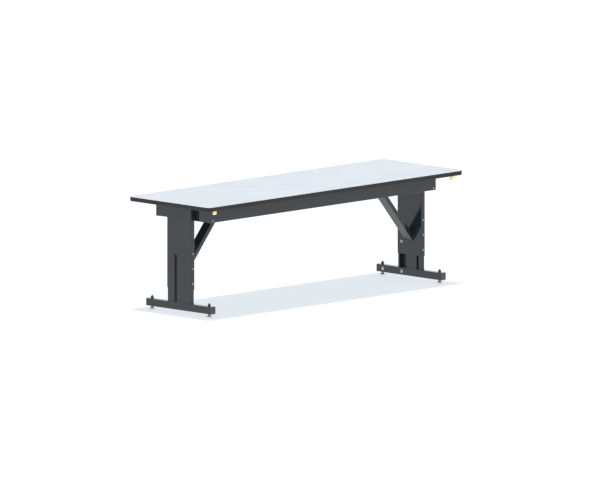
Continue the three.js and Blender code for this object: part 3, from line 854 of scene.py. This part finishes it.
def add_frame_welds():
    """Welds where each side arm and cross member meets the front and rear beams."""
    for end, toward in ENDS.items():
        y = face_at(f"{end}_beam", Y, -toward)
        for name, side in SIDES.items():
            for part in ("side_arm", "cross_member"):
                low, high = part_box(f"{name}_{part}")
                x = face_at(f"{name}_{part}", X, -side)
                bottom = (x, y, low.z + BEAD_STOPS["bottom"])
                top = (x, y, high.z - BEAD_STOPS["top"])
                add_bead(f"{name}_{end}_{part}_weld", "top_frame", bottom, top)


# ---------------------------------------------------------------- grounding jacks
JACK_FACE = {"width": 35 * MM, "height": 21.5 * MM, "thick": 1.4 * MM, "corner": 2.5 * MM, "drop": 1.4 * MM}
JACK_SOCKET = {"radius": 2.2 * MM, "spread": 7 * MM, "drop": 3 * MM, "depth": 5 * MM, "forward": 0.3 * MM}
JACK_CORNER = 2 * MM


def socket_rim():
    """A turned steel liner for one socket, with a flat rim in front."""
    radius = JACK_SOCKET["radius"]
    depth = JACK_SOCKET["depth"]
    return ring_stack([
        (radius, -depth),
        (radius, 0.3 * MM),
        (radius + 0.9 * MM, 0.3 * MM),
        (radius + 0.8 * MM, 0.7 * MM),
        (radius * 0.9, 0.7 * MM),
        (radius * 0.8, 0.4 * MM),
        (radius * 0.8, -depth),
    ], hollow=True)


def add_jack(name):
    """A black housing under the worktop with a pale yellow face plate and two lined sockets."""
    node = f"{name}_ground_jack"
    low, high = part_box(node)
    centre = middle(node)
    radius = JACK_SOCKET["radius"]
    sockets = [(x, -JACK_SOCKET["drop"]) for x in (-JACK_SOCKET["spread"], JACK_SOCKET["spread"])]

    back = Vector((centre.x, high.y, centre.z))
    depth = high.y - low.y - JACK_FACE["thick"]
    holes = [(x, z, radius) for x, z in sockets]
    housing = pierced_plate(high.x - low.x, high.z - low.z, depth, JACK_CORNER, holes)
    jack = add_piece(f"{name}_jack_housing", housing, "black_plastic", "top_frame", back, FRONT)
    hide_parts(node)

    front = Vector((centre.x, low.y + JACK_FACE["thick"], centre.z - JACK_FACE["drop"]))
    face_holes = [(x, z + JACK_FACE["drop"], radius) for x, z in sockets]
    face = pierced_plate(
        JACK_FACE["width"], JACK_FACE["height"], JACK_FACE["thick"], JACK_FACE["corner"], face_holes)
    add_piece(f"{name}_jack_face", face, "yellow_plastic", "top_frame", front, FRONT)

    for number, (x, z) in enumerate(sockets, 1):
        at = Vector((centre.x + x, low.y - JACK_SOCKET["forward"], centre.z + z))
        add_piece(f"{name}_jack_socket_{number}", socket_rim(), "bright_steel", "top_frame", at, FRONT)


# ---------------------------------------------------------------- drive details
# The profiles in this section are in millimetres.
MOTOR = {"fins": 13, "nose": 12 * MM, "tail": 22 * MM, "core": 0.86, "fin": 0.955}
MOTOR_SCREWS = 0.62         # their distance from the motor's axis, as a part of its radius
GLAND_PROFILE = [
    (6, 0), (6, 2), (7.5, 2, 6), (7.5, 6, 6), (6, 7), (5.6, 11), (4.6, 12), (3.4, 12), (3.2, 8),
]
GLAND = {"sink": 2.5 * MM, "from_rear": 14 * MM}
GEARBOX_COVER_PROFILE = [(20, 0), (20, 3), (19, 4), (11, 4), (10, 3), (3, 3)]
GEARBOX_SCREWS = {"radius": 15 * MM, "height": 4 * MM}
PLUG_PROFILE = [(6.5, 0), (6.5, 1.2), (5.6, 1.2, 6), (5.6, 4.2, 6), (4.6, 5)]
PLUG_X = 22 * MM
FLANGE_SCREWS = {"inset": 6.5 * MM, "drop": 6 * MM, "places": (11 * MM, 55 * MM)}
COUPLING_PROFILE = [
    (6, 0), (10.4, 0), (11, 0.6), (11, 14), (10, 14.6), (10, 16.4), (11, 17), (11, 30.4), (10.4, 31),
    (6, 31),
]
COUPLING_GAP = 12 * MM
BEARING_PROFILE = [(6.6, 0), (19, 0), (19, 3), (18, 4), (12, 4), (11, 8), (10, 9), (6.6, 9)]
BEARING_SCREWS = {"spread": 15 * MM, "height": 4 * MM}


def ring_of_four(radius):
    """Four places round a circle, as (across, up) pairs, each 45 degrees from the level."""
    angles = [math.tau * (i + 0.5) / 4 for i in range(4)]
    return [(math.cos(angle) * radius, math.sin(angle) * radius) for angle in angles]


def motor_rings(radius, length):
    """The motor's outline: a front flange, cooling fins and a domed rear cover."""
    core = radius * MOTOR["core"]
    fin = radius * MOTOR["fin"]
    cover = length - MOTOR["tail"]
    pitch = (cover - MOTOR["nose"]) / MOTOR["fins"]
    rings = [(radius * 0.97, 0), (radius, 0.8 * MM), (radius, 7 * MM), (radius * 0.9, 8 * MM)]
    for i in range(MOTOR["fins"]):
        z = MOTOR["nose"] + i * pitch
        rings += [(core, z), (core, z + 0.42 * pitch), (fin, z + 0.52 * pitch), (fin, z + 0.86 * pitch)]
    rings += [
        (core, cover),
        (radius * 0.99, cover + 2 * MM),
        (radius, cover + 3 * MM),
        (radius, length - 6 * MM),
        (radius * 0.93, length - 3 * MM),
        (radius * 0.78, length),
    ]
    return rings


def add_motor():
    """The gearmotor with cooling fins, a rear cover, its four screws and a cable gland."""
    low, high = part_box("lift_motor")
    centre = middle("lift_motor")
    radius = (high.x - low.x) / 2
    base = Vector((centre.x, low.y, centre.z))
    shape = ring_stack(motor_rings(radius, high.y - low.y), segments=48)
    motor = add_piece("finned_motor", shape, "dark_motor_paint", "top_frame", base, REAR)
    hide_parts("lift_motor")
    for number, (across, up) in enumerate(ring_of_four(radius * MOTOR_SCREWS), 1):
        at = Vector((centre.x + across, high.y, centre.z + up))
        add_screw(f"motor_screw_{number}", "motor", "top_frame", at, REAR)
    gland_at = Vector((high.x - GLAND["sink"], high.y - GLAND["from_rear"], centre.z))
    gland = ring_stack(GLAND_PROFILE, unit=MM)
    add_piece("motor_gland", gland, "black_plastic", "top_frame", gland_at, (1, 0, 0))


def add_gearbox_details():
    """A round bearing cover with its screws in front, an oil plug below, and the flange's screws."""
    low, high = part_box("worm_gearbox")
    at = Vector((0, low.y, middle("lift_motor").z))
    cover = ring_stack(GEARBOX_COVER_PROFILE, segments=40, unit=MM)
    add_piece("gearbox_cover", cover, "cast_aluminium", "top_frame", at, FRONT)
    for number, (across, up) in enumerate(ring_of_four(GEARBOX_SCREWS["radius"]), 1):
        screw_at = at + Vector((across, -GEARBOX_SCREWS["height"], up))
        add_screw(f"gearbox_screw_{number}", "gearbox", "top_frame", screw_at, FRONT)
    plug = ring_stack(PLUG_PROFILE, segments=36, unit=MM)
    plug_at = Vector((PLUG_X, middle("worm_gearbox").y, low.z))
    add_piece("gearbox_plug", plug, "zinc_plate", "top_frame", plug_at, DOWN)
    for name, side in SIDES.items():
        x = side * (high.x - FLANGE_SCREWS["inset"])
        for number, y in enumerate(FLANGE_SCREWS["places"], 1):
            flange_at = Vector((x, low.y + y, high.z - FLANGE_SCREWS["drop"]))
            add_screw(f"{name}_flange_screw_{number}", "flange", "top_frame", flange_at, DOWN)


def add_shaft_details():
    """Couplings on the cross shaft beside the gearbox, and a flanged bearing at each cross member."""
    axis = middle("cross_shaft")
    gearbox_side = face_at("worm_gearbox", X, 1)
    for name, side in SIDES.items():
        outward = (side, 0, 0)
        inward = (-side, 0, 0)
        coupling = ring_stack(COUPLING_PROFILE, segments=32, hollow=True, unit=MM)
        coupling_at = Vector((side * (gearbox_side + COUPLING_GAP), axis.y, axis.z))
        add_piece(f"{name}_shaft_coupling", coupling, "bright_steel", "drive_shaft", coupling_at, outward)
        bearing = ring_stack(BEARING_PROFILE, segments=40, hollow=True, unit=MM)
        bearing_at = Vector((face_at(f"{name}_cross_member", X, -side), axis.y, axis.z))
        add_piece(f"{name}_shaft_bearing", bearing, "cast_aluminium", "top_frame", bearing_at, inward)
        for number, shift in enumerate((-BEARING_SCREWS["spread"], BEARING_SCREWS["spread"]), 1):
            screw_at = bearing_at + Vector((-side * BEARING_SCREWS["height"], shift, 0))
            add_screw(f"{name}_bearing_screw_{number}", "bearing", "top_frame", screw_at, inward)


# ---------------------------------------------------------------- control box
LID = {"margin": 3 * MM, "thick": 2.2 * MM, "corner": 5 * MM, "edge": 1 * MM, "screw_inset": 12 * MM}
LUG = {"length": 18 * MM, "width": 20 * MM, "thick": 2.4 * MM, "corner": 5 * MM, "edge": 0.5 * MM,
       "out": 5 * MM, "spread": 34 * MM, "screw_out": 2 * MM}
RIB = {"count": 7, "spacing": 11 * MM, "width": 5 * MM, "length": 46 * MM, "thick": 1.4 * MM,
       "corner": 2.4 * MM, "edge": 0.8 * MM}


def add_control_lid():
    """A lid on the control box's underside, with a screw in each corner."""
    low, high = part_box("control_box")
    length = high.x - low.x
    width = high.y - low.y
    at = underside("control_box")
    margin = 2 * LID["margin"]
    lid = plate(length - margin, width - margin, LID["thick"], LID["corner"], LID["edge"])
    add_piece("control_lid", lid, "black_plastic", "top_frame", at, DOWN)
    reach_x = length / 2 - LID["screw_inset"]
    reach_y = width / 2 - LID["screw_inset"]
    for number, (side_x, side_y) in enumerate(((-1, -1), (1, -1), (1, 1), (-1, 1)), 1):
        screw_at = at + Vector((side_x * reach_x, side_y * reach_y, -LID["thick"]))
        add_screw(f"control_screw_{number}", "lid", "top_frame", screw_at, DOWN)


def add_control_lugs():
    """Four lugs at the ends of the control box, each screwed up into the worktop."""
    low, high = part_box("control_box")
    centre = middle("control_box")
    lug_x = (high.x - low.x) / 2 + LUG["out"]
    corners = [(side, y) for side in (-1, 1) for y in (-LUG["spread"], LUG["spread"])]
    for number, (side, y) in enumerate(corners, 1):
        at = Vector((centre.x + side * lug_x, centre.y + y, high.z))
        lug = plate(LUG["length"], LUG["width"], LUG["thick"], LUG["corner"], LUG["edge"])
        add_piece(f"control_lug_{number}", lug, "black_powder_coat", "top_frame", at, DOWN)
        screw_at = at + Vector((side * LUG["screw_out"], 0, -LUG["thick"]))
        add_screw(f"control_lug_screw_{number}", "lug", "top_frame", screw_at, DOWN)


def add_control_ribs():
    """A row of raised cooling ribs on the control box's lid."""
    at = underside("control_box")
    for number in range(1, RIB["count"] + 1):
        x = (number - (RIB["count"] + 1) / 2) * RIB["spacing"]
        rib = plate(RIB["width"], RIB["length"], RIB["thick"], RIB["corner"], RIB["edge"])
        rib_at = at + Vector((x, 0, -LID["thick"]))
        add_piece(f"control_rib_{number}", rib, "black_plastic", "top_frame", rib_at, DOWN)


# ---------------------------------------------------------------- worktop clips
CLIP = {"reach": 30 * MM, "rise": 34 * MM, "width": 36 * MM, "thick": 2.5 * MM, "gap": 0.4 * MM,
        "soft": 0.3 * MM, "spacing": 620 * MM, "screw_spread": 10 * MM, "screw_reach": 18 * MM}


def add_worktop_clips():
    """Bent tabs along the inside of both beams, screwed up into the worktop."""
    top = face_at("worktop_backer", Z, -1) - CLIP["gap"]
    for end, toward in ENDS.items():
        y = face_at(f"{end}_beam", Y, -toward)
        upside_down = Matrix.Rotation(math.pi, 4, "X")
        turn = Matrix.Rotation(math.radians(-90 * toward), 4, "Z") @ upside_down
        for number, x in enumerate((-CLIP["spacing"], 0, CLIP["spacing"]), 1):
            tab = bent_tab(CLIP["reach"], CLIP["rise"], CLIP["width"], CLIP["thick"])
            tab_name = f"{end}_worktop_clip_{number}"
            add_piece(tab_name, tab, "zinc_plate", "top_frame", (x, y, top), turn, CLIP["soft"])
            for screw, shift in enumerate((-CLIP["screw_spread"], CLIP["screw_spread"]), 1):
                at = Vector((x + shift, y - toward * CLIP["screw_reach"], top - CLIP["thick"]))
                add_screw(f"{end}_clip_screw_{number}_{screw}", "clip", "top_frame", at, DOWN)


# ---------------------------------------------------------------- assembly
add_camera()
add_studio()
dress_cad_nodes()
add_beam_bolts()
add_frame_welds()
add_worktop_clips()
add_end_cap_panels()
add_motor()
add_gearbox_details()
add_control_lid()
add_control_lugs()
add_control_ribs()
add_shaft_details()
for side_name, side_sign in SIDES.items():
    add_foot_bolts(side_name, side_sign)
    add_levelling_studs(side_name)
    add_pads(side_name)
    add_brace_bolts(side_name)
    add_brace_welds(side_name, side_sign)
    add_column_welds(side_name, side_sign)
    add_jack(side_name)
